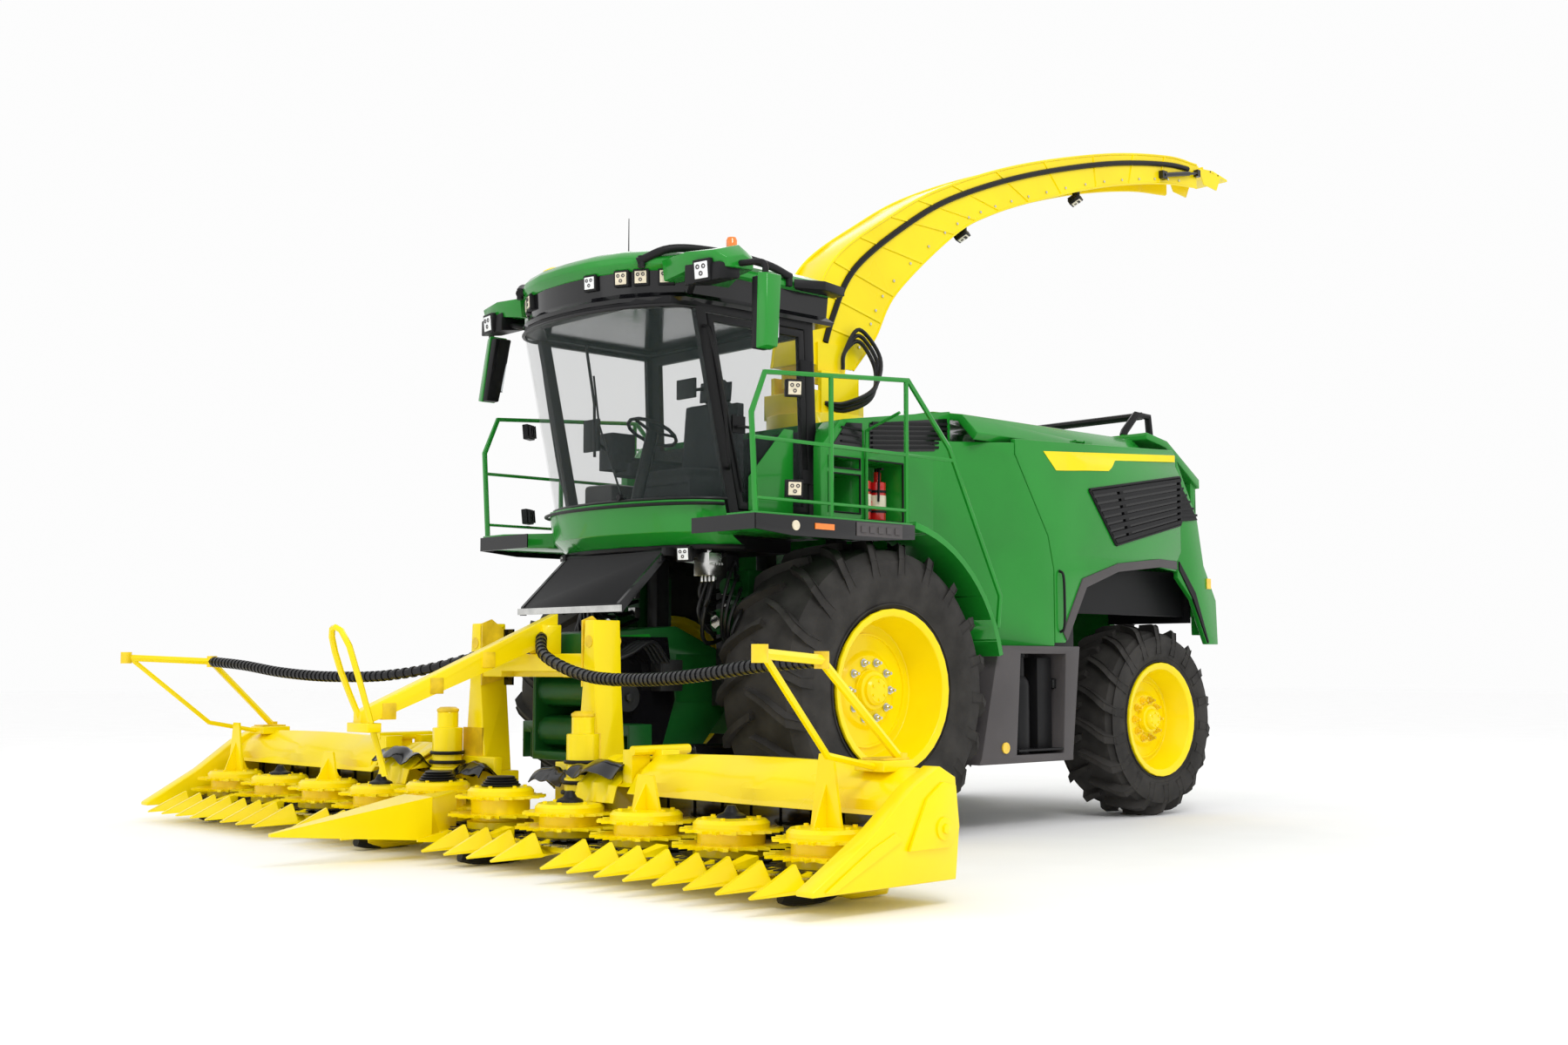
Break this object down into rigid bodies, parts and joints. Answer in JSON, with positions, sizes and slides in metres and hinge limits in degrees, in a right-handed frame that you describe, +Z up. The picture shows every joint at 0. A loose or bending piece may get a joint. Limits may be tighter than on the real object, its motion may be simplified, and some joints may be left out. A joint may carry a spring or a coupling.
{
  "type": "forage harvester",
  "caption": "Green self-propelled forage harvester with a wide yellow rotary header, a glass cab, big front wheels and a tall curved discharge spout",
  "frame": {"origin": "On the ground plane under the middle of the overall bounding box", "axes": "+Z up; the machine drives towards -Y; its left side is +X"},
  "size_m": [7.7, 10.5, 6.3351],
  "materials": {
    "green_paint": "vivid green gloss paint",
    "yellow_paint": "warm yellow gloss paint",
    "black_plastic": "black satin",
    "grey_plastic": "dark grey moulded plastic",
    "dark_steel": "dark machined and cast steel",
    "tyre_rubber": "black rubber",
    "cab_glass": "clear glass, a little green",
    "red_paint": "red gloss paint",
    "seat_fabric": "dark grey woven cloth"
  },
  "bodies": {
    "chassis": {"chassis_frame": "dark_steel", "engine_block": "dark_steel", "front_axle": "green_paint", "rear_axle": "green_paint", "lower_box_left": "grey_plastic", "lower_box_right": "grey_plastic", "service_body_left": "green_paint", "service_body_right": "green_paint", "fire_extinguishers": "red_paint", "engine_hood": "green_paint", "rear_body": "green_paint", "cab_frame": "black_plastic", "side_window_right": "cab_glass", "rear_window": "cab_glass", "windscreen": "cab_glass", "nose_fairing": "green_paint", "cab_roof": "green_paint", "operator_seat": "seat_fabric", "steering_column": "black_plastic", "walkway_left": "green_paint", "walkway_right": "green_paint"},
    "front_wheel_left": {"front_left_tyre": "tyre_rubber", "front_left_rim": "yellow_paint"},
    "front_wheel_right": {"front_right_tyre": "tyre_rubber", "front_right_rim": "yellow_paint"},
    "knuckle_left_body": {"knuckle_left": "dark_steel"},
    "knuckle_right_body": {"knuckle_right": "dark_steel"},
    "rear_wheel_left": {"rear_left_tyre": "tyre_rubber", "rear_left_rim": "yellow_paint"},
    "rear_wheel_right": {"rear_right_tyre": "tyre_rubber", "rear_right_rim": "yellow_paint"},
    "door": {"cab_door": "black_plastic", "door_glass": "cab_glass"},
    "panel_left": {"side_panel_left": "green_paint"},
    "panel_right": {"side_panel_right": "green_paint"},
    "cover": {"intake_cover": "black_plastic"},
    "header": {"feeder_housing": "green_paint", "header_frame": "yellow_paint", "centre_arm": "yellow_paint"},
    "barrel_left": {"lift_barrel_left": "black_plastic"},
    "barrel_right": {"lift_barrel_right": "black_plastic"},
    "rod_left": {"lift_rod_left": "dark_steel"},
    "rod_right": {"lift_rod_right": "dark_steel"},
    "wing_left": {"header_wing_left": "yellow_paint", "crop_guide_left": "yellow_paint"},
    "wing_right": {"header_wing_right": "yellow_paint", "crop_guide_right": "yellow_paint"},
    "rotor_left_1_body": {"rotor_left_1": "yellow_paint"},
    "rotor_left_2_body": {"rotor_left_2": "yellow_paint"},
    "rotor_left_3_body": {"rotor_left_3": "yellow_paint"},
    "rotor_left_4_body": {"rotor_left_4": "yellow_paint"},
    "rotor_left_5_body": {"rotor_left_5": "yellow_paint"},
    "rotor_right_1_body": {"rotor_right_1": "yellow_paint"},
    "rotor_right_2_body": {"rotor_right_2": "yellow_paint"},
    "rotor_right_3_body": {"rotor_right_3": "yellow_paint"},
    "rotor_right_4_body": {"rotor_right_4": "yellow_paint"},
    "rotor_right_5_body": {"rotor_right_5": "yellow_paint"},
    "turret": {"spout_turntable": "yellow_paint"},
    "boom": {"spout_boom": "yellow_paint"},
    "flap": {"spout_flap": "yellow_paint"}
  },
  "joints": [
    {"name": "front_wheel_left_spin", "type": "hinge", "parent": "chassis", "child": "front_wheel_left", "pos_m": [1.2, -1.37, 1.063], "axis": [1, 0, 0], "continuous": true},
    {"name": "steer_left", "type": "hinge", "parent": "chassis", "child": "knuckle_left_body", "pos_m": [0.86, 1.92, 0.793], "axis": [0, 0, 1], "range_deg": [-26, 26]},
    {"name": "rear_wheel_left_spin", "type": "hinge", "parent": "knuckle_left_body", "child": "rear_wheel_left", "pos_m": [1.26, 1.92, 0.793], "axis": [1, 0, 0], "continuous": true},
    {"name": "side_panel_left_open", "type": "hinge", "parent": "chassis", "child": "panel_left", "pos_m": [1.436, 1.13, 3.04], "axis": [0, -1, 0], "range_deg": [0, 70]},
    {"name": "lift_barrel_left_pin", "type": "hinge", "parent": "chassis", "child": "barrel_left", "pos_m": [0.56, -1.59, 0.62], "axis": [-1, 0, 0], "range_deg": [0, 15]},
    {"name": "wing_left_fold", "type": "hinge", "parent": "header", "child": "wing_left", "pos_m": [1.5, -3.32, 0.72], "axis": [0, -1, 0], "range_deg": [0, 90]},
    {"name": "rotor_left_1_spin", "type": "hinge", "parent": "header", "child": "rotor_left_1_body", "pos_m": [0.375, -3.83, 0.3], "axis": [0, 0, 1], "continuous": true},
    {"name": "rotor_left_2_spin", "type": "hinge", "parent": "header", "child": "rotor_left_2_body", "pos_m": [1.125, -3.83, 0.3], "axis": [0, 0, 1], "continuous": true},
    {"name": "rotor_left_3_spin", "type": "hinge", "parent": "wing_left", "child": "rotor_left_3_body", "pos_m": [1.875, -3.83, 0.3], "axis": [0, 0, 1], "continuous": true},
    {"name": "rotor_left_4_spin", "type": "hinge", "parent": "wing_left", "child": "rotor_left_4_body", "pos_m": [2.625, -3.83, 0.3], "axis": [0, 0, 1], "continuous": true},
    {"name": "rotor_left_5_spin", "type": "hinge", "parent": "wing_left", "child": "rotor_left_5_body", "pos_m": [3.375, -3.83, 0.3], "axis": [0, 0, 1], "continuous": true},
    {"name": "front_wheel_right_spin", "type": "hinge", "parent": "chassis", "child": "front_wheel_right", "pos_m": [-1.2, -1.37, 1.063], "axis": [1, 0, 0], "continuous": true},
    {"name": "steer_right", "type": "hinge", "parent": "chassis", "child": "knuckle_right_body", "pos_m": [-0.86, 1.92, 0.793], "axis": [0, 0, 1], "range_deg": [-26, 26]},
    {"name": "rear_wheel_right_spin", "type": "hinge", "parent": "knuckle_right_body", "child": "rear_wheel_right", "pos_m": [-1.26, 1.92, 0.793], "axis": [1, 0, 0], "continuous": true},
    {"name": "side_panel_right_open", "type": "hinge", "parent": "chassis", "child": "panel_right", "pos_m": [-1.436, 1.13, 3.04], "axis": [0, 1, 0], "range_deg": [0, 70]},
    {"name": "lift_barrel_right_pin", "type": "hinge", "parent": "chassis", "child": "barrel_right", "pos_m": [-0.56, -1.59, 0.62], "axis": [-1, 0, 0], "range_deg": [0, 15]},
    {"name": "wing_right_fold", "type": "hinge", "parent": "header", "child": "wing_right", "pos_m": [-1.5, -3.32, 0.72], "axis": [0, 1, 0], "range_deg": [0, 90]},
    {"name": "rotor_right_1_spin", "type": "hinge", "parent": "header", "child": "rotor_right_1_body", "pos_m": [-0.375, -3.83, 0.3], "axis": [0, 0, 1], "continuous": true},
    {"name": "rotor_right_2_spin", "type": "hinge", "parent": "header", "child": "rotor_right_2_body", "pos_m": [-1.125, -3.83, 0.3], "axis": [0, 0, 1], "continuous": true},
    {"name": "rotor_right_3_spin", "type": "hinge", "parent": "wing_right", "child": "rotor_right_3_body", "pos_m": [-1.875, -3.83, 0.3], "axis": [0, 0, 1], "continuous": true},
    {"name": "rotor_right_4_spin", "type": "hinge", "parent": "wing_right", "child": "rotor_right_4_body", "pos_m": [-2.625, -3.83, 0.3], "axis": [0, 0, 1], "continuous": true},
    {"name": "rotor_right_5_spin", "type": "hinge", "parent": "wing_right", "child": "rotor_right_5_body", "pos_m": [-3.375, -3.83, 0.3], "axis": [0, 0, 1], "continuous": true},
    {"name": "cab_door_open", "type": "hinge", "parent": "chassis", "child": "door", "pos_m": [0.945, -1.56, 3.03], "axis": [0, 0, 1], "range_deg": [0, 40]},
    {"name": "header_lift", "type": "hinge", "parent": "chassis", "child": "header", "pos_m": [0, -1.67, 1.15], "axis": [-1, 0, 0], "range_deg": [0, 16]},
    {"name": "intake_cover_open", "type": "hinge", "parent": "chassis", "child": "cover", "pos_m": [0, -2.62, 2.03], "axis": [-1, 0, 0], "range_deg": [0, 48]},
    {"name": "spout_turn", "type": "hinge", "parent": "chassis", "child": "turret", "pos_m": [0, -0.59, 3.1], "axis": [0, 0, 1], "range_deg": [-105, 105]},
    {"name": "spout_lift", "type": "hinge", "parent": "turret", "child": "boom", "pos_m": [0, -0.63, 3.46], "axis": [1, 0, 0], "range_deg": [-18, 0]},
    {"name": "spout_flap_turn", "type": "hinge", "parent": "boom", "child": "flap", "pos_m": [0, 4.705, 6.315], "axis": [-1, 0, 0], "range_deg": [0, 40]},
    {"name": "lift_rod_left_slide", "type": "slide", "parent": "barrel_left", "child": "rod_left", "axis": [0, -0.9995, 0.0312], "range_m": [0, 0.16]},
    {"name": "lift_rod_right_slide", "type": "slide", "parent": "barrel_right", "child": "rod_right", "axis": [0, -0.9995, 0.0312], "range_m": [0, 0.16]}
  ],
  "couplings": [
    {"joint": "steer_right", "follows": "steer_left", "ratio": 1},
    {"joint": "intake_cover_open", "follows": "header_lift", "ratio": 3},
    {"joint": "lift_barrel_left_pin", "follows": "header_lift", "ratio": 0.882},
    {"joint": "lift_rod_left_slide", "follows": "header_lift", "m_per_rad": 0.511},
    {"joint": "lift_barrel_right_pin", "follows": "header_lift", "ratio": 0.882},
    {"joint": "lift_rod_right_slide", "follows": "header_lift", "m_per_rad": 0.511}
  ]
}
